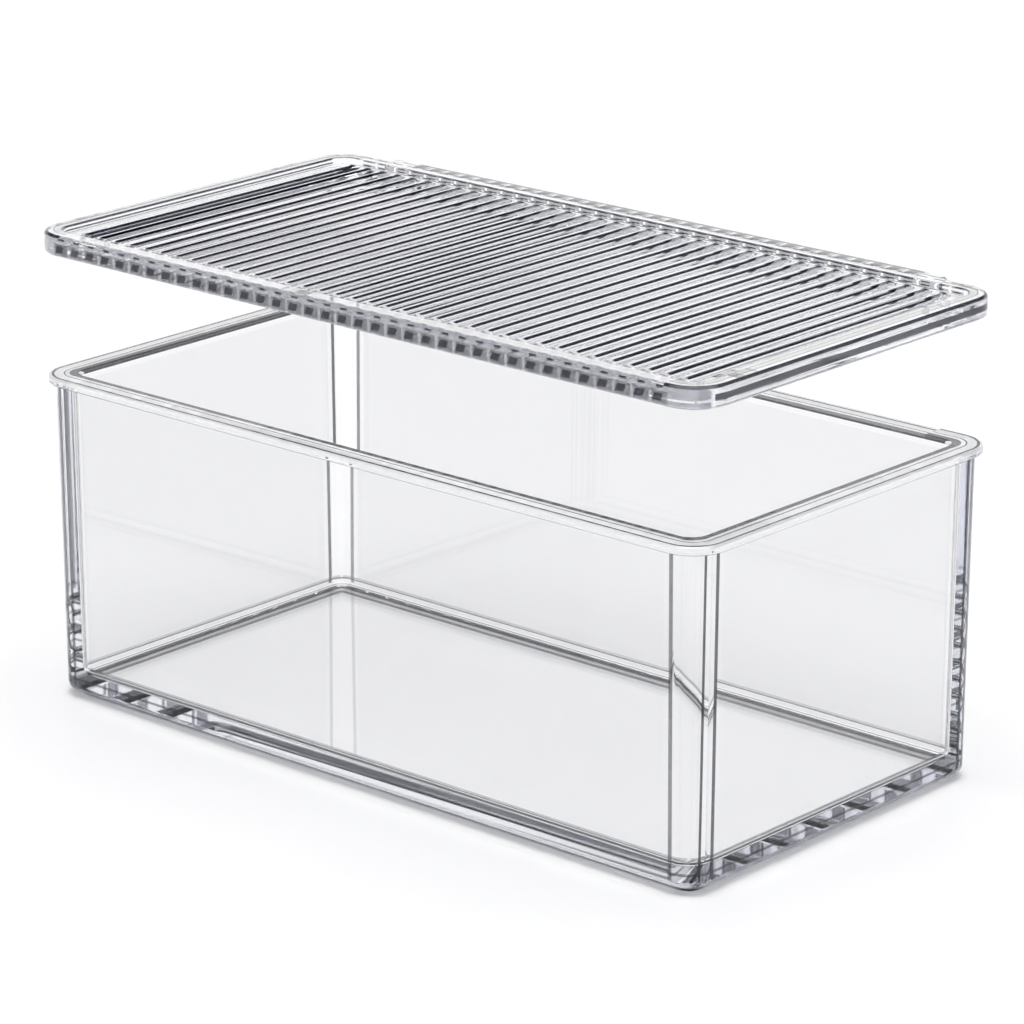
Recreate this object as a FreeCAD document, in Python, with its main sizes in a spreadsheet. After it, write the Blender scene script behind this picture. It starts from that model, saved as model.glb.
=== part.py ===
import FreeCAD, Part
import math
import os
import Sketcher

# Clear storage box: an open, thick-walled box and a loose lid with a ribbed top, in millimetres.
# +X runs along the long side, +Y to the back with the lid's finger lip, +Z up.
# The origin is the middle of the foot ring's underside. The lid is stored lifted clear of the rim.

doc = FreeCAD.newDocument("acrylic_storage_box")

SIZES = [
    # the box
    ("box_length", 160.0),
    ("box_width", 84.0),
    ("box_height", 63.0),
    ("wall_thickness", 4.1),
    ("wall_draft_deg", 0.5),
    ("floor_thickness", 3.0),
    ("floor_edge_radius", 1.6),
    ("floor_corner_radius", 1.8),
    ("rim_reach", 1.4),
    ("rim_height", 1.6),
    ("rim_corner_radius", 7.0),
    ("rim_edge_radius", 0.5),
    ("mouth_corner_radius", 3.0),
    ("mouth_edge_radius", 0.5),
    ("foot_height", 0.9),
    ("foot_width", 2.0),
    ("foot_inset", 2.6),
    ("finger_relief_depth", 0.4),
    # the lid
    ("lid_thickness", 4.0),
    ("lid_edge_radius", 0.8),
    ("lid_base_radius", 0.7),
    ("border_width", 3.6),
    ("border_edge_radius", 0.4),
    ("panel_depth", 1.2),
    ("rib_margin", 3.0),
    ("rib_pitch", 3.96),
    ("rib_width", 3.2),
    ("rib_height", 0.75),
    ("rib_length", 74.0),
    ("lug_height", 1.8),
    ("lug_thickness", 1.6),
    ("lug_length", 8.0),
    ("lip_inset", 13.0),
    ("lip_reach", 2.0),
    ("lip_corner_radius", 1.6),
    ("scoop_inset", 6.0),
    ("scoop_height", 1.8),
    # fits and the stored pose
    ("lid_clearance", 0.4),
    ("lip_clearance", 0.6),
    ("lid_lift", 23.6),
    ("cut_overrun", 1.0),
]

# Sizes on the sheet that follow the lid's length, so that ribs and lip always end inside it.
FOLLOWING = [
    ("rib_count", "=floor((box_length - 2 * (border_width + rib_margin) - rib_width) / rib_pitch) + 1"),
    ("lip_length", "=box_length - 2 * lip_inset"),
    ("scoop_length", "=lip_length - 2 * scoop_inset"),
]

sheet = doc.addObject("Spreadsheet::Sheet", "sizes")
for row, (alias, value) in enumerate(SIZES + FOLLOWING, start=1):
    sheet.set("A%d" % row, alias)
    sheet.set("B%d" % row, str(value))
    sheet.setAlias("B%d" % row, alias)
doc.recompute()

# Sizes that follow from the driving ones, as expressions on the sheet.
WALL_HEIGHT = "(sizes.box_height - sizes.foot_height)"
WALL_TAPER = "(%s * tan(sizes.wall_draft_deg * 1 deg))" % WALL_HEIGHT
BASE_INSET = "(sizes.rim_reach + %s)" % WALL_TAPER
MOUTH_INSET = "(sizes.rim_reach + sizes.wall_thickness)"
FOOT_INSET = "(%s + sizes.foot_inset)" % BASE_INSET
RIB_RADIUS = "(sizes.rib_width * sizes.rib_width / (8 * sizes.rib_height) + sizes.rib_height / 2)"
RIB_ROW = "((sizes.rib_count - 1) * sizes.rib_pitch)"
PANEL_LEVEL = "(sizes.lid_thickness - sizes.panel_depth)"
RIB_CENTRE_LEVEL = "(%s + sizes.rib_height - %s)" % (PANEL_LEVEL, RIB_RADIUS)
RIB_BASE_ANGLE = "asin(1 - sizes.rib_height / %s)" % RIB_RADIUS
RIB_STRAIGHT = "(sizes.rib_length - sizes.rib_width)"
EDGE_TOLERANCE = 1e-4


def number(expression):
    """The value that an expression on the sheet has now."""
    result = sheet.evalExpression(expression)
    return float(getattr(result, "Value", result))


def inset(expression):
    """Length, width and corner radius of the rim's outline, moved in by an expression."""
    return (
        "sizes.box_length - 2 * %s" % expression,
        "sizes.box_width - 2 * %s" % expression,
        "sizes.rim_corner_radius - %s" % expression,
    )


def mouth_inset(expression):
    """Length, width and corner radius of the mouth's outline, moved in by an expression."""
    length, width, _ = inset("(%s + %s)" % (MOUTH_INSET, expression))
    return length, width, "sizes.mouth_corner_radius - %s" % expression


def new_body(label):
    body = doc.addObject("PartDesign::Body", label)
    body.Label = label
    return body


def origin_plane(body, role):
    return next(item for item in body.Origin.OriginFeatures if item.Role == role)


def new_sketch(body, name, role="XY_Plane", height=None):
    """A sketch on one of the body's own origin planes, raised by an expression."""
    sketch = body.newObject("Sketcher::SketchObject", name)
    sketch.AttachmentSupport = [(origin_plane(body, role), "")]
    sketch.MapMode = "FlatFace"
    if height:
        sketch.setExpression("AttachmentOffset.Base.z", height)
    return sketch


def drive(sketch, kind, arguments, expression):
    """Adds a dimension whose value follows an expression on the sheet."""
    index = sketch.addConstraint(Sketcher.Constraint(kind, *arguments, number(expression)))
    sketch.setExpression("Constraints[%d]" % index, expression)


def rounded_rectangle(sketch, outline):
    """A centred rectangle with round corners, from (length, width, radius) expressions."""
    length, width, radius = outline
    x = number(length) / 2
    y = number(width) / 2
    r = number(radius)
    centres = [(x - r, y - r), (r - x, y - r), (r - x, r - y), (x - r, r - y)]
    up = FreeCAD.Vector(0, 0, 1)
    arcs = []
    for turn, (cx, cy) in enumerate(centres):
        circle = Part.Circle(FreeCAD.Vector(cx, cy, 0), up, r)
        start = turn * math.pi / 2
        arcs.append(sketch.addGeometry(Part.ArcOfCircle(circle, start, start + math.pi / 2), False))
    lines = []
    for turn, (cx, cy) in enumerate(centres):
        nx, ny = centres[(turn + 1) % 4]
        away = FreeCAD.Vector(math.cos((turn + 1) * math.pi / 2), math.sin((turn + 1) * math.pi / 2), 0) * r
        side = Part.LineSegment(FreeCAD.Vector(cx, cy, 0) + away, FreeCAD.Vector(nx, ny, 0) + away)
        lines.append(sketch.addGeometry(side, False))
    for turn in range(4):
        sketch.addConstraint(Sketcher.Constraint("Tangent", arcs[turn], 2, lines[turn], 1))
        sketch.addConstraint(Sketcher.Constraint("Tangent", lines[turn], 2, arcs[(turn + 1) % 4], 1))
        sketch.addConstraint(Sketcher.Constraint("Vertical" if turn % 2 else "Horizontal", lines[turn]))
    for turn in range(3):
        sketch.addConstraint(Sketcher.Constraint("Equal", arcs[turn], arcs[3]))
    sketch.addConstraint(Sketcher.Constraint("Symmetric", arcs[0], 3, arcs[2], 3, -1, 1))
    drive(sketch, "DistanceX", (lines[1], 1, lines[3], 1), length)
    drive(sketch, "DistanceY", (lines[2], 1, lines[0], 1), width)
    drive(sketch, "Radius", (arcs[0],), radius)


def rectangle(sketch, length, near, far):
    """A rectangle centred across the sketch, between two heights given as expressions."""
    x = number(length) / 2
    low = number(near)
    high = number(far)
    corners = [FreeCAD.Vector(*p, 0) for p in ((-x, low), (x, low), (x, high), (-x, high))]
    lines = [sketch.addGeometry(Part.LineSegment(corners[i], corners[(i + 1) % 4]), False) for i in range(4)]
    for i in range(4):
        sketch.addConstraint(Sketcher.Constraint("Coincident", lines[i], 2, lines[(i + 1) % 4], 1))
    for i in range(1, 4):
        sketch.addConstraint(Sketcher.Constraint("Vertical" if i % 2 else "Horizontal", lines[i]))
    sketch.addConstraint(Sketcher.Constraint("Symmetric", lines[0], 1, lines[0], 2, -2))
    drive(sketch, "DistanceX", (lines[0], 1, lines[0], 2), length)
    drive(sketch, "DistanceY", (-1, 1, lines[0], 1), near)
    drive(sketch, "DistanceY", (-1, 1, lines[2], 1), far)


def extrude(kind, body, sketch, name, length, downward=False, taper=None):
    """A Pad or Pocket of a sketch, its length an expression and its taper an optional one."""
    feature = body.newObject("PartDesign::" + kind, name)
    feature.Profile = sketch
    feature.setExpression("Length", length)
    feature.Reversed = downward
    if taper:
        feature.setExpression("TaperAngle", taper)
    doc.recompute()
    return feature


def round_edges(body, base, name, radius, wanted):
    """Rounds the edges of a feature that a test on an edge's points picks out."""
    names = []
    for index, edge in enumerate(base.Shape.Edges, start=1):
        steps = [edge.FirstParameter + (edge.LastParameter - edge.FirstParameter) * i / 4 for i in range(5)]
        if wanted([edge.valueAt(step) for step in steps]):
            names.append("Edge%d" % index)
    fillet = body.newObject("PartDesign::Fillet", name)
    fillet.Base = (base, names)
    fillet.setExpression("Radius", radius)
    doc.recompute()
    return fillet


def level(points, height):
    """True where every point lies at one height."""
    return all(abs(p.z - height) < EDGE_TOLERANCE for p in points)


def inside(points, outline):
    """True where every point lies within a rectangle of the outline's length and width."""
    x = number(outline[0]) / 2 + EDGE_TOLERANCE
    y = number(outline[1]) / 2 + EDGE_TOLERANCE
    return all(abs(p.x) < x and abs(p.y) < y for p in points)


# Box body: one tapered, thick-walled shell with a beaded rim, standing on a low ring.
box_body = new_body("box_body")

shell_sketch = new_sketch(box_body, "shell_outline", height="sizes.foot_height")
rounded_rectangle(shell_sketch, inset(BASE_INSET))
shell = extrude("Pad", box_body, shell_sketch, "shell", WALL_HEIGHT, taper="sizes.wall_draft_deg")
foot_top = number("sizes.foot_height")
rim_top = number("sizes.box_height")
shell_round = round_edges(box_body, shell, "floor_edge_round", "sizes.floor_edge_radius",
                          lambda points: level(points, foot_top))

rim_sketch = new_sketch(box_body, "rim_outline", height="sizes.box_height - sizes.rim_height")
rounded_rectangle(rim_sketch, inset("0"))
rim = extrude("Pad", box_body, rim_sketch, "rim", "sizes.rim_height")
rim_base = number("sizes.box_height - sizes.rim_height")
wall_outline = inset("sizes.rim_reach")
rim_round = round_edges(
    box_body, rim, "rim_edge_round", "sizes.rim_edge_radius",
    lambda points: level(points, rim_top)
    or (level(points, rim_base) and not inside(points, wall_outline)))

cavity_sketch = new_sketch(box_body, "mouth_outline", height="sizes.box_height")
rounded_rectangle(cavity_sketch, mouth_inset("0"))
cavity = extrude("Pocket", box_body, cavity_sketch, "cavity",
                 WALL_HEIGHT + " - sizes.floor_thickness", taper="-sizes.wall_draft_deg")
floor_top = number("sizes.foot_height + sizes.floor_thickness")
cavity_round = round_edges(box_body, cavity, "floor_corner_round", "sizes.floor_corner_radius",
                           lambda points: level(points, floor_top))
mouth_outline = mouth_inset("0")
mouth_round = round_edges(box_body, cavity_round, "mouth_edge_round", "sizes.mouth_edge_radius",
                          lambda points: level(points, rim_top) and inside(points, mouth_outline))

relief_sketch = new_sketch(box_body, "finger_relief_outline", height="sizes.box_height")
rectangle(relief_sketch, "sizes.lip_length + 2 * sizes.lip_clearance",
          "sizes.box_width / 2 - %s - sizes.cut_overrun" % MOUTH_INSET,
          "sizes.box_width / 2 + sizes.cut_overrun")
relief = extrude("Pocket", box_body, relief_sketch, "finger_relief", "sizes.finger_relief_depth")

foot_sketch = new_sketch(box_body, "foot_outline")
rounded_rectangle(foot_sketch, inset(FOOT_INSET))
rounded_rectangle(foot_sketch, inset("(%s + sizes.foot_width)" % FOOT_INSET))
extrude("Pad", box_body, foot_sketch, "foot_ring", "sizes.foot_height")

# Lid: a plate as large as the rim, sunk inside its border, with round ribs from front to back.
lid = new_body("lid")

plate_sketch = new_sketch(lid, "plate_outline")
rounded_rectangle(plate_sketch, inset("0"))
plate = extrude("Pad", lid, plate_sketch, "plate", "sizes.lid_thickness")

lip_sketch = new_sketch(lid, "lip_outline")
rectangle(lip_sketch, "sizes.lip_length", "sizes.box_width / 2 - sizes.border_width",
          "sizes.box_width / 2 + sizes.lip_reach")
lip = extrude("Pad", lid, lip_sketch, "lip", "sizes.lid_thickness")
lip_back = number("sizes.box_width / 2 + sizes.lip_reach")
lip_round = round_edges(
    lid, lip, "lip_corner_round", "sizes.lip_corner_radius",
    lambda points: all(abs(p.y - lip_back) < EDGE_TOLERANCE for p in points)
    and abs(points[0].z - points[-1].z) > EDGE_TOLERANCE)
lid_top = number("sizes.lid_thickness")
plate_round = round_edges(lid, lip_round, "plate_edge_round", "sizes.lid_edge_radius",
                          lambda points: level(points, lid_top))
base_round = round_edges(lid, plate_round, "plate_base_round", "sizes.lid_base_radius",
                         lambda points: level(points, 0))

panel_sketch = new_sketch(lid, "panel_outline", height="sizes.lid_thickness")
panel_outline = inset("sizes.border_width")
rounded_rectangle(panel_sketch, panel_outline)
panel = extrude("Pocket", lid, panel_sketch, "panel", "sizes.panel_depth")
panel_level = number(PANEL_LEVEL)
panel_round = round_edges(
    lid, panel, "border_edge_round", "sizes.border_edge_radius",
    lambda points: (level(points, lid_top) or level(points, panel_level)) and inside(points, panel_outline))

# Four low lugs under the corners drop into the mouth and keep the lid on the box.
lug_sketch = new_sketch(lid, "lug_ring_outline")
lug_outline = mouth_inset("sizes.lid_clearance")
rounded_rectangle(lug_sketch, lug_outline)
rounded_rectangle(lug_sketch, mouth_inset("(sizes.lid_clearance + sizes.lug_thickness)"))
extrude("Pad", lid, lug_sketch, "lug_ring", "sizes.lug_height", downward=True)
for name, length, width in (
        ("front_back_gap", lug_outline[0] + " - 2 * sizes.lug_length", "sizes.box_width"),
        ("side_gap", "sizes.box_length", lug_outline[1] + " - 2 * sizes.lug_length")):
    gap_sketch = new_sketch(lid, name + "_outline")
    rectangle(gap_sketch, length, "-(%s) / 2" % width, "(%s) / 2" % width)
    extrude("Pocket", lid, gap_sketch, name, "sizes.lug_height + sizes.cut_overrun")

scoop_sketch = new_sketch(lid, "scoop_outline")
rectangle(scoop_sketch, "sizes.scoop_length", "sizes.box_width / 2",
          "sizes.box_width / 2 + sizes.lip_reach + sizes.cut_overrun")
scoop = extrude("Pocket", lid, scoop_sketch, "finger_scoop", "sizes.scoop_height", downward=True)

# One rib is a low round bar on the panel, with a dome of the same curve at each end.
rib_sketch = new_sketch(lid, "rib_profile", role="XZ_Plane")
rib_place = FreeCAD.Vector(-number(RIB_ROW) / 2, number(RIB_CENTRE_LEVEL), 0)
rib_circle = Part.Circle(rib_place, FreeCAD.Vector(0, 0, 1), number(RIB_RADIUS))
rib_start = math.radians(number(RIB_BASE_ANGLE))
rib_top = rib_sketch.addGeometry(Part.ArcOfCircle(rib_circle, rib_start, math.pi - rib_start), False)
rib_edges = [rib_sketch.getPoint(rib_top, end) for end in (2, 1)]
rib_base = rib_sketch.addGeometry(Part.LineSegment(*rib_edges), False)
rib_sketch.addConstraint(Sketcher.Constraint("Coincident", rib_top, 2, rib_base, 1))
rib_sketch.addConstraint(Sketcher.Constraint("Coincident", rib_base, 2, rib_top, 1))
rib_sketch.addConstraint(Sketcher.Constraint("Horizontal", rib_base))
drive(rib_sketch, "Radius", (rib_top,), RIB_RADIUS)
drive(rib_sketch, "DistanceX", (rib_base, 1, rib_base, 2), "sizes.rib_width")
drive(rib_sketch, "DistanceX", (rib_top, 3, -1, 1), RIB_ROW + " / 2")
drive(rib_sketch, "DistanceY", (-1, 1, rib_base, 1), PANEL_LEVEL)
rib = lid.newObject("PartDesign::Pad", "rib")
rib.Profile = rib_sketch
rib.Midplane = True
rib.setExpression("Length", RIB_STRAIGHT)
doc.recompute()
rib_features = [rib]
for name, side in (("rib_front_end", "-"), ("rib_back_end", "")):
    dome = lid.newObject("PartDesign::AdditiveSphere", name)
    dome.AttachmentSupport = [(origin_plane(lid, "XY_Plane"), "")]
    dome.MapMode = "FlatFace"
    dome.setExpression("Radius", RIB_RADIUS)
    dome.setExpression("Angle1", RIB_BASE_ANGLE)
    dome.setExpression("AttachmentOffset.Base.x", "-%s / 2" % RIB_ROW)
    dome.setExpression("AttachmentOffset.Base.y", "%s%s / 2" % (side, RIB_STRAIGHT))
    dome.setExpression("AttachmentOffset.Base.z", RIB_CENTRE_LEVEL)
    doc.recompute()
    rib_features.append(dome)
ribs = lid.newObject("PartDesign::LinearPattern", "ribs")
ribs.Originals = rib_features
ribs.Direction = (rib_sketch, ["H_Axis"])
ribs.setExpression("Length", RIB_ROW)
ribs.setExpression("Occurrences", "sizes.rib_count")
lid.Tip = ribs

lid.setExpression("Placement.Base.z", "sizes.box_height + sizes.lid_lift")
doc.recompute()

# Every feature must have worked before any piece is written.
for item in doc.Objects:
    if "Invalid" in item.State or "Error" in item.State:
        raise RuntimeError("%s failed: %s" % (item.Name, item.State))
pieces = [box_body, lid]
for piece in pieces:
    if piece.Shape.isNull() or not piece.Shape.isValid() or len(piece.Shape.Solids) != 1:
        raise RuntimeError("%s is not one valid solid" % piece.Label)

os.makedirs("parts", exist_ok=True)
for piece in pieces:
    piece.Shape.exportStep("parts/%s.step" % piece.Label)
    print("%s volume %.0f" % (piece.Label, piece.Shape.Volume), piece.Shape.BoundBox)
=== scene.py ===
import bpy
import math
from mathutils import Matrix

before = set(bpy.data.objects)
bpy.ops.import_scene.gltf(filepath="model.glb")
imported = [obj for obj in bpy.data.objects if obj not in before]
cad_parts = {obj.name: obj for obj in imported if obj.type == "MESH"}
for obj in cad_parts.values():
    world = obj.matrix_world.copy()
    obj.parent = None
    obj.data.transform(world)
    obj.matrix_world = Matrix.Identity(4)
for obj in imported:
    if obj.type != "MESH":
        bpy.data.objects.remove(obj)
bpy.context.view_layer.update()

bpy.ops.object.select_all(action="DESELECT")


# Box body: the open box, one thick-walled moulding of clear acrylic.
# Walls, floor, beaded rim and foot ring are cast together, then polished by the mould.
# The columns are clear and the rim a little frosted; the light grey of the flat walls and the dark lines
# along the edges are painted shade, drawn into the colour.
ACRYLIC_IOR = 1.49
DEEP_GREY = (0.38, 0.42, 0.60)
DEPTH_DENSITY = 3.0
HAZE_SIZE = 38.0
HAZE_START = 0.45
HAZE_FULL = 0.75
RIPPLE_HEIGHT = 0.0004
# The dark colour that the painted shade lines are drawn in.
PAINTED_SHADE_TINT = (0.0010, 0.0015, 0.0060)
CLEAR_TINT = (0.99, 0.99, 0.993)


def clear_acrylic(name, haze_limit, ripple_size, ripple_strength):
    """A polished clear moulding: faint flow ripples, a little haze, and colour in its depth."""
    material = bpy.data.materials.new(name)
    material.use_nodes = True
    tree = material.node_tree
    surface = tree.nodes["Principled BSDF"]
    surface.inputs["IOR"].default_value = ACRYLIC_IOR
    surface.inputs["Transmission Weight"].default_value = 1.0

    place = tree.nodes.new("ShaderNodeTexCoord")
    haze = tree.nodes.new("ShaderNodeTexNoise")
    haze.inputs["Scale"].default_value = HAZE_SIZE
    haze.inputs["Detail"].default_value = 1.0
    tree.links.new(place.outputs["Object"], haze.inputs["Vector"])
    polish = tree.nodes.new("ShaderNodeMapRange")
    polish.inputs["From Min"].default_value = HAZE_START
    polish.inputs["From Max"].default_value = HAZE_FULL
    polish.inputs["To Min"].default_value = 0.0
    polish.inputs["To Max"].default_value = haze_limit
    tree.links.new(haze.outputs["Fac"], polish.inputs["Value"])
    tree.links.new(polish.outputs["Result"], surface.inputs["Roughness"])

    flow = tree.nodes.new("ShaderNodeTexNoise")
    flow.inputs["Scale"].default_value = ripple_size
    flow.inputs["Detail"].default_value = 0.0
    tree.links.new(place.outputs["Object"], flow.inputs["Vector"])
    ripple = tree.nodes.new("ShaderNodeBump")
    ripple.inputs["Strength"].default_value = ripple_strength
    ripple.inputs["Distance"].default_value = RIPPLE_HEIGHT
    tree.links.new(flow.outputs["Fac"], ripple.inputs["Height"])
    tree.links.new(ripple.outputs["Normal"], surface.inputs["Normal"])

    depth = tree.nodes.new("ShaderNodeVolumeAbsorption")
    depth.inputs["Color"].default_value = (*DEEP_GREY, 1.0)
    depth.inputs["Density"].default_value = DEPTH_DENSITY
    tree.links.new(depth.outputs["Volume"], tree.nodes["Material Output"].inputs["Volume"])
    return material


def calculate(tree, operation, *terms):
    """One Math node, its terms sockets or numbers."""
    node = tree.nodes.new("ShaderNodeMath")
    node.operation = operation
    for place, term in enumerate(terms):
        if isinstance(term, bpy.types.NodeSocket):
            tree.links.new(term, node.inputs[place])
        else:
            node.inputs[place].default_value = term
    return node.outputs["Value"]


def position(tree):
    """Place along, place across and height, then the distances from the middle along and across."""
    place = tree.nodes.new("ShaderNodeTexCoord")
    split = tree.nodes.new("ShaderNodeSeparateXYZ")
    tree.links.new(place.outputs["Object"], split.inputs["Vector"])
    along = calculate(tree, "ABSOLUTE", split.outputs["X"])
    across = calculate(tree, "ABSOLUTE", split.outputs["Y"])
    return split.outputs["X"], split.outputs["Y"], split.outputs["Z"], along, across


def outline(tree, along, across, middle):
    """Distance from a rectangle of corner middles, which is the same all along a rounded outline."""
    past_end = calculate(tree, "MAXIMUM", calculate(tree, "SUBTRACT", along, middle[0]), 0.0)
    past_side = calculate(tree, "MAXIMUM", calculate(tree, "SUBTRACT", across, middle[1]), 0.0)
    end_square = calculate(tree, "POWER", past_end, 2.0)
    side_square = calculate(tree, "POWER", past_side, 2.0)
    return calculate(tree, "SQRT", calculate(tree, "ADD", end_square, side_square))


def over(tree, value, limit):
    """A mask that is on where a value is more than a limit."""
    return calculate(tree, "GREATER_THAN", value, limit)


def under(tree, value, limit):
    """A mask that is on where a value is less than a limit."""
    return calculate(tree, "LESS_THAN", value, limit)


def between(tree, value, limits):
    """A mask that is on where a value lies between two limits."""
    low, high = limits
    return calculate(tree, "COMPARE", value, (low + high) / 2, (high - low) / 2)


def either(tree, *masks):
    """A mask that is on where any of the masks is on."""
    total = masks[0]
    for mask in masks[1:]:
        total = calculate(tree, "MAXIMUM", total, mask)
    return total


def both(tree, *masks):
    """A mask that is on where all of the masks are on."""
    total = masks[0]
    for mask in masks[1:]:
        total = calculate(tree, "MULTIPLY", total, mask)
    return total


def left_over(tree, mask, share):
    """What is left of the whole where a mask takes a share of it."""
    return calculate(tree, "SUBTRACT", 1.0, calculate(tree, "MULTIPLY", mask, share))


def paint_shade(tree, *shadings):
    """Paints shade into the surface's colour, by masks that each take a share of the light that passes it."""
    tone = 1.0
    for mask, share in shadings:
        tone = calculate(tree, "MULTIPLY", tone, left_over(tree, mask, share))
    blend = tree.nodes.new("ShaderNodeMix")
    blend.data_type = "RGBA"
    blend.inputs["A"].default_value = (*PAINTED_SHADE_TINT, 1.0)
    blend.inputs["B"].default_value = (*CLEAR_TINT, 1.0)
    # Light that passes the surface takes the root of its colour, so the tone is squared.
    tree.links.new(calculate(tree, "POWER", tone, 2.0), blend.inputs["Factor"])
    tree.links.new(blend.outputs["Result"], tree.nodes["Principled BSDF"].inputs["Base Color"])


box_acrylic = clear_acrylic("clear_box_acrylic", haze_limit=0.02, ripple_size=24.0, ripple_strength=0.05)
shade = box_acrylic.node_tree
length, depth, up, along, across = position(shade)

BOX_LENGTH = 0.160
BOX_WIDTH = 0.084
RIM_CORNER = 0.007
CORNER_MIDDLE = (BOX_LENGTH / 2 - RIM_CORNER, BOX_WIDTH / 2 - RIM_CORNER)
from_corner = outline(shade, along, across, CORNER_MIDDLE)

# Painted shade: the flat walls between the columns are painted a little grey, and the back and left ones
# greyer.
COLUMN_MARGIN = 0.0015
PANEL_HEIGHTS = (0.0046, 0.0612)
column_end = over(shade, along, CORNER_MIDDLE[0] - COLUMN_MARGIN)
column_side = over(shade, across, CORNER_MIDDLE[1] - COLUMN_MARGIN)
off_column = left_over(shade, both(shade, column_end, column_side), 1.0)
panel = both(shade, between(shade, up, PANEL_HEIGHTS), off_column)
far_side = either(shade, over(shade, depth, CORNER_MIDDLE[1]), under(shade, length, -CORNER_MIDDLE[0]))
far_panel = both(shade, panel, far_side)

# Painted shade: dark upright lines where the flat walls turn into the corner columns, with a second one at
# the right end.
WALL_HEIGHTS = (0.0026, 0.0612)
LONG_WALL = 0.0385
END_WALL = 0.0745
COLUMN_LINE = 0.0004
SIDE_LINE = (CORNER_MIDDLE[0] - COLUMN_LINE, CORNER_MIDDLE[0] + COLUMN_LINE)
END_LINE = (CORNER_MIDDLE[1] - COLUMN_LINE, CORNER_MIDDLE[1] + COLUMN_LINE)
SECOND_LINE = (0.0373, 0.0377)
wall = between(shade, up, WALL_HEIGHTS)
side_line = both(shade, wall, over(shade, across, LONG_WALL), between(shade, along, SIDE_LINE))
end_line = both(shade, wall, over(shade, along, END_WALL), between(shade, across, END_LINE))
second_line = both(shade, wall, over(shade, length, END_WALL), between(shade, across, SECOND_LINE))
end_lines = either(shade, end_line, second_line)

# Painted shade: a dark band and a line up the outside of the front left and the back right columns.
COLUMN_OUTSIDE = 0.0045
LONG_TURN = 0.0370
END_TURN = 0.0750
BAND_ALONG = (0.0742, 0.0752)
BAND_ACROSS = (0.0362, 0.0372)
LINE_ALONG = (0.0762, 0.0767)
LINE_ACROSS = (0.0380, 0.0384)
same_side = over(shade, calculate(shade, "MULTIPLY", length, depth), 0.0)
turned = both(shade, wall, same_side, over(shade, from_corner, COLUMN_OUTSIDE))
long_turn = over(shade, across, LONG_TURN)
end_turn = over(shade, along, END_TURN)
turned_band = both(shade, turned, either(
    shade, both(shade, between(shade, along, BAND_ALONG), long_turn),
    both(shade, between(shade, across, BAND_ACROSS), end_turn)))
turned_line = both(shade, turned, either(
    shade, both(shade, between(shade, along, LINE_ALONG), long_turn),
    both(shade, between(shade, across, LINE_ACROSS), end_turn)))

# Painted shade: dark bands and lines round the rim, by their distance from the corner middles; its top is
# frosted.
RIM_TOP = 0.0622
RIM_FOOT = (0.0612, 0.0616)
RIM_REACH = 0.0056
INNER_BAND = (0.0014, 0.0031)
MIDDLE_BAND = (0.0039, 0.0042)
OUTER_LINE = (0.0059, 0.0064)
RIM_FROST = 0.6
rim_top = over(shade, up, RIM_TOP)
rim_bands = either(shade, between(shade, from_corner, INNER_BAND), between(shade, from_corner, MIDDLE_BAND))
rim_band = both(shade, rim_top, rim_bands)
rim_edge = both(shade, rim_top, between(shade, from_corner, OUTER_LINE))
rim_foot = both(shade, over(shade, from_corner, RIM_REACH), between(shade, up, RIM_FOOT))
rim_line = either(shade, rim_edge, rim_foot)
clear_share = left_over(shade, rim_top, RIM_FROST)
shade.links.new(clear_share, shade.nodes["Principled BSDF"].inputs["Transmission Weight"])

# Painted shade: dark lines along the foot of the walls: inside, by their distance past the flat part of the
# floor, half of whose length and width is given, and outside, at the floor's level and just above the foot
# ring.
FLAT_FLOOR = (0.0724, 0.0344)
FLOOR_EDGE = (-0.0006, 0.0002)
FLOOR_HEIGHTS = (0.0030, 0.0046)
INNER_WALL = (0.0010, 0.0030)
INNER_HEIGHTS = (0.0052, 0.0059)
OUTER_WALL = 0.0040
OUTER_HEIGHTS = (0.0036, 0.0041)
FOOT_HEIGHTS = (0.0012, 0.0015)
past_floor_end = calculate(shade, "SUBTRACT", along, FLAT_FLOOR[0])
past_floor_side = calculate(shade, "SUBTRACT", across, FLAT_FLOOR[1])
from_floor = calculate(shade, "MAXIMUM", past_floor_end, past_floor_side)
floor_line = both(shade, between(shade, from_floor, FLOOR_EDGE), between(shade, up, FLOOR_HEIGHTS))
wall_line = both(shade, between(shade, from_floor, INNER_WALL), between(shade, up, INNER_HEIGHTS))
base_levels = either(shade, between(shade, up, OUTER_HEIGHTS), between(shade, up, FOOT_HEIGHTS))
base_line = both(shade, over(shade, from_corner, OUTER_WALL), base_levels)

# Every mask here paints shade into the box's colour, each taking its share of the light.
paint_shade(shade, (panel, 0.014), (far_panel, 0.055), (side_line, 0.68), (end_lines, 0.84),
     (turned_band, 0.7), (turned_line, 0.85), (rim_band, 0.7), (rim_line, 0.82),
     (floor_line, 0.6), (wall_line, 0.3), (base_line, 0.65))
box_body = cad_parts["box_body"]
box_body.data.materials.clear()
box_body.data.materials.append(box_acrylic)


# Lid: a loose plate of the same clear acrylic, with a raised border round a field of round ribs.
# It is moulded in one with its finger lip and the four corner lugs that drop into the box's mouth.
# Seen through its long edges, the ribs repeat as a row of dark cells under a row of short dashes; here these
# are painted shade.
lid_acrylic = clear_acrylic("clear_lid_acrylic", haze_limit=0.003, ripple_size=30.0, ripple_strength=0.01)
shade = lid_acrylic.node_tree
length, depth, up, along, across = position(shade)

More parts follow.
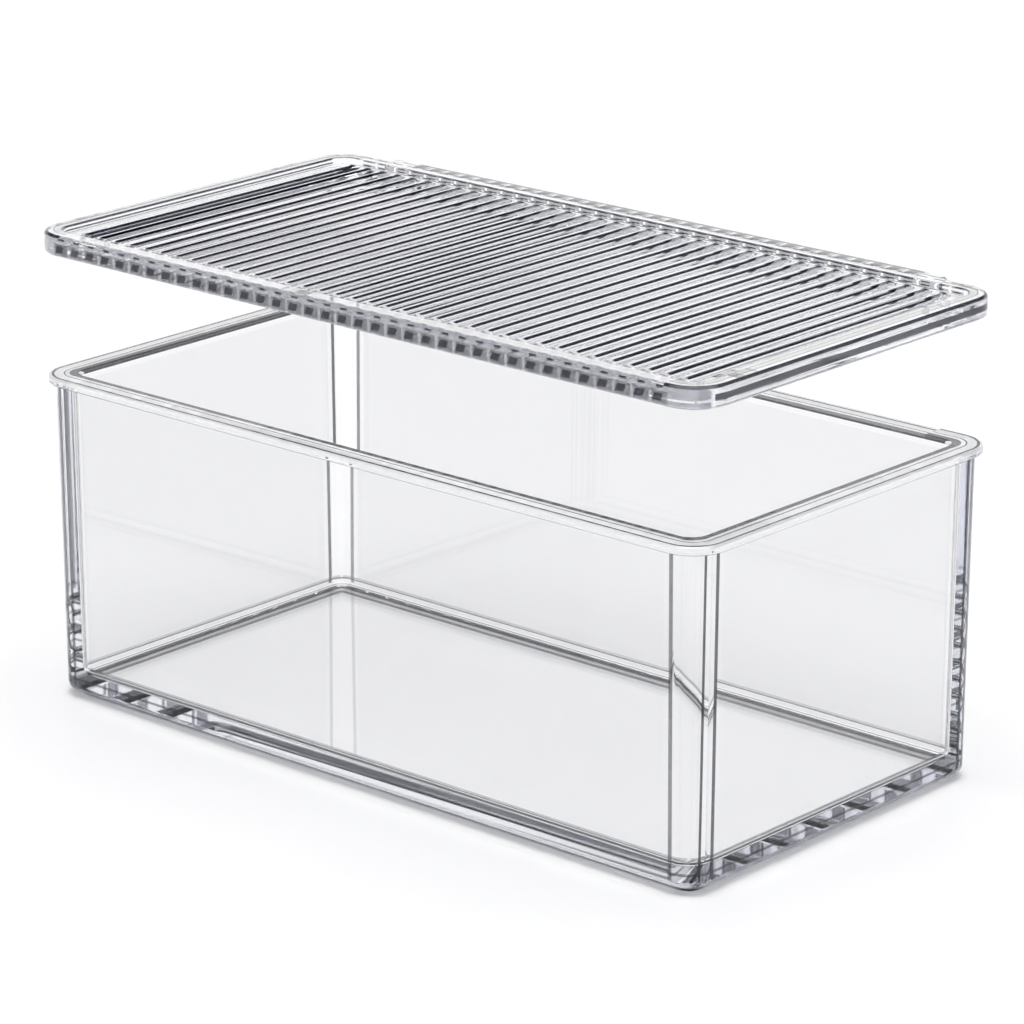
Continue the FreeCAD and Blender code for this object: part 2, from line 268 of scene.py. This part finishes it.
# Place within one rib's pitch, 0.5 at the rib's middle, and height as a share of the lid's thickness.
# The pitches are counted from far left of the lid, so that their number is above zero all along it.
RIB_PITCH = 0.00396
PITCHES_BEFORE = 100.5
LID_BASE = 0.0866
LID_THICKNESS = 0.004
CELL_LEAN = 0.35
pitches = calculate(shade, "ADD", calculate(shade, "DIVIDE", length, RIB_PITCH), PITCHES_BEFORE)
cell = calculate(shade, "FRACT", pitches)
rise = calculate(shade, "DIVIDE", calculate(shade, "SUBTRACT", up, LID_BASE), LID_THICKNESS)
slant = calculate(shade, "SUBTRACT", cell, calculate(shade, "MULTIPLY", rise, CELL_LEAN))

# Painted shade: the flank of each rib is painted dark, most at the left end, and so is the back end of each
# rib.
RIB_ROW = 0.0735
PANEL_TOP = 0.0892
RIB_REACH = 0.0365
RIB_FLANK = (0.56, 0.74)
FLANK_MIDDLE = 0.34
FLANK_FALL = 4.5
FLANK_BEND = 80.0
RIB_END = (0.0350, 0.0372)
RIB_END_CELL = (0.15, 0.72)
in_row = under(shade, along, RIB_ROW)
top_row = both(shade, over(shade, up, PANEL_TOP), in_row)
flank = both(shade, top_row, under(shade, across, RIB_REACH), between(shade, cell, RIB_FLANK))
flank_slope = calculate(shade, "SUBTRACT", calculate(shade, "MULTIPLY", length, FLANK_BEND), FLANK_FALL)
flank_share = calculate(shade, "ADD", FLANK_MIDDLE, calculate(shade, "MULTIPLY", length, flank_slope))
rib_end = both(shade, top_row, between(shade, depth, RIB_END), between(shade, cell, RIB_END_CELL))

# Front and back edges: painted shade for a dark field and a slanting heart in each cell, and a dash above it.
LONG_EDGE = 0.0413
FIELD_RISE = (0.10, 0.66)
FIELD_CELL = (0.07, 0.93)
HEART_RISE = (0.22, 0.56)
HEART_SLANT = (0.02, 0.50)
DASH_RISE = (0.80, 0.90)
DASH_CELL = (0.3, 0.7)
BACK_DASH = (0.0402, 0.0407)
BACK_DASH_CELL = (0.10, 0.75)
long_edge = both(shade, over(shade, across, LONG_EDGE), in_row)
cell_field = both(shade, long_edge, between(shade, rise, FIELD_RISE), between(shade, cell, FIELD_CELL))
cell_heart = both(shade, long_edge, between(shade, rise, HEART_RISE), between(shade, slant, HEART_SLANT))
dash = both(shade, long_edge, between(shade, rise, DASH_RISE), between(shade, cell, DASH_CELL))
back_dash = both(shade, top_row, between(shade, depth, BACK_DASH), between(shade, cell, BACK_DASH_CELL))

# Ends: painted shade for a dark band and a thin line along the edge, and an outline, two lines and a grey
# field on the border.
END_EDGE = 0.0795
END_BAND_RISE = (0.36, 0.66)
END_LINE_RISE = (0.10, 0.16)
BORDER_START = 0.0720
BORDER_TOP = 0.0902
EDGE_LINE = (0.0063, 0.0070)
BORDER_FIELD = (0.0038, 0.0051)
INNER_LINE = (0.0035, 0.0038)
FIELD_LINE = (0.0051, 0.0053)
end_edge = over(shade, along, END_EDGE)
end_band = both(shade, end_edge, between(shade, rise, END_BAND_RISE))
end_line = both(shade, end_edge, between(shade, rise, END_LINE_RISE))
from_corner = outline(shade, along, across, CORNER_MIDDLE)
end_top = both(shade, over(shade, along, BORDER_START), over(shade, up, BORDER_TOP))
edge_line = both(shade, end_top, between(shade, from_corner, EDGE_LINE))
border_lines = either(shade, between(shade, from_corner, INNER_LINE), between(shade, from_corner, FIELD_LINE))
border_line = both(shade, end_top, border_lines)
border_field = both(shade, end_top, between(shade, from_corner, BORDER_FIELD))

# Every mask here paints shade into the lid's colour, each taking its share of the light.
paint_shade(shade, (flank, flank_share), (rib_end, 0.92), (cell_field, 0.5), (cell_heart, 0.9),
     (dash, 0.9), (back_dash, 0.85), (end_band, 0.9), (end_line, 0.7),
     (edge_line, 0.9), (border_line, 0.8), (border_field, 0.25))
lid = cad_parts["lid"]
lid.data.materials.clear()
lid.data.materials.append(lid_acrylic)


# Studio: a plain white sweep that the box stands on, under one broad soft light overhead.
# The room above the sweep is dark, so the clear edges draw themselves in grey.
SWEEP_REACH = 12.0
SWEEP_WHITE = (0.93, 0.93, 0.93, 1.0)
SWEEP_ROUGHNESS = 0.45
SWEEP_GLOSS = 0.15
bpy.ops.mesh.primitive_plane_add(size=SWEEP_REACH, location=(0, 0, 0))
sweep = bpy.context.active_object
sweep.name = "studio_floor"
sweep_paint = bpy.data.materials.new("white_sweep")
sweep_paint.use_nodes = True
sweep_surface = sweep_paint.node_tree.nodes["Principled BSDF"]
sweep_surface.inputs["Base Color"].default_value = SWEEP_WHITE
sweep_surface.inputs["Roughness"].default_value = SWEEP_ROUGHNESS
sweep_surface.inputs["Specular IOR Level"].default_value = SWEEP_GLOSS
sweep.data.materials.append(sweep_paint)

scene = bpy.context.scene
studio = bpy.data.worlds.new("studio")
scene.world = studio
studio.use_nodes = True
room = studio.node_tree.nodes
wires = studio.node_tree.links
room.clear()
facing = room.new("ShaderNodeTexCoord")
split = room.new("ShaderNodeSeparateXYZ")
wires.new(facing.outputs["Generated"], split.inputs["Vector"])
WHITE = (1.0, 1.0, 1.0, 1.0)
DARK_ROOM = (0.012, 0.015, 0.034, 1.0)
OVERHEAD = (3.2, 3.2, 3.2, 1.0)
HORIZON_END = 0.37
ROOM_START = 0.41
ROOM_END = 0.80
OVERHEAD_START = 0.86
height = room.new("ShaderNodeValToRGB")
bands = height.color_ramp.elements
bands[0].position = 0.0
bands[0].color = WHITE
bands[1].position = 1.0
bands[1].color = OVERHEAD
for level, light in (
        (HORIZON_END, WHITE), (ROOM_START, DARK_ROOM), (ROOM_END, DARK_ROOM), (OVERHEAD_START, OVERHEAD)):
    bands.new(level).color = light
wires.new(split.outputs["Z"], height.inputs["Fac"])
lit = room.new("ShaderNodeBackground")
wires.new(height.outputs["Color"], lit.inputs["Color"])
backdrop = room.new("ShaderNodeBackground")
backdrop.inputs["Color"].default_value = WHITE
path = room.new("ShaderNodeLightPath")
seen = room.new("ShaderNodeMixShader")
wires.new(path.outputs["Is Camera Ray"], seen.inputs["Fac"])
wires.new(lit.outputs["Background"], seen.inputs[1])
wires.new(backdrop.outputs["Background"], seen.inputs[2])
back = room.new("ShaderNodeOutputWorld")
wires.new(seen.outputs["Shader"], back.inputs["Surface"])

# Light is passed on many times inside the thick walls before it leaves them.
WALL_BOUNCES = 56
scene.cycles.max_bounces = WALL_BOUNCES
scene.cycles.transmission_bounces = WALL_BOUNCES
scene.cycles.glossy_bounces = WALL_BOUNCES
scene.cycles.blur_glossy = 0.0
scene.view_settings.view_transform = "Standard"


# Camera: set where the lines of the rim, base and lid in the picture meet a box of this size.
CAMERA_PLACE = (0.5415, -0.6095, 0.3062)
CAMERA_AZIMUTH = math.radians(41.521)
CAMERA_DIP = math.radians(17.899)
CAMERA_SENSOR = 36.0
CAMERA_LENS = 164.66
CAMERA_NEAR = 0.01
bpy.ops.object.camera_add(location=CAMERA_PLACE, rotation=(math.pi / 2 - CAMERA_DIP, 0, CAMERA_AZIMUTH))
camera = bpy.context.active_object
camera.data.sensor_width = CAMERA_SENSOR
camera.data.lens = CAMERA_LENS
camera.data.clip_start = CAMERA_NEAR
scene.camera = camera
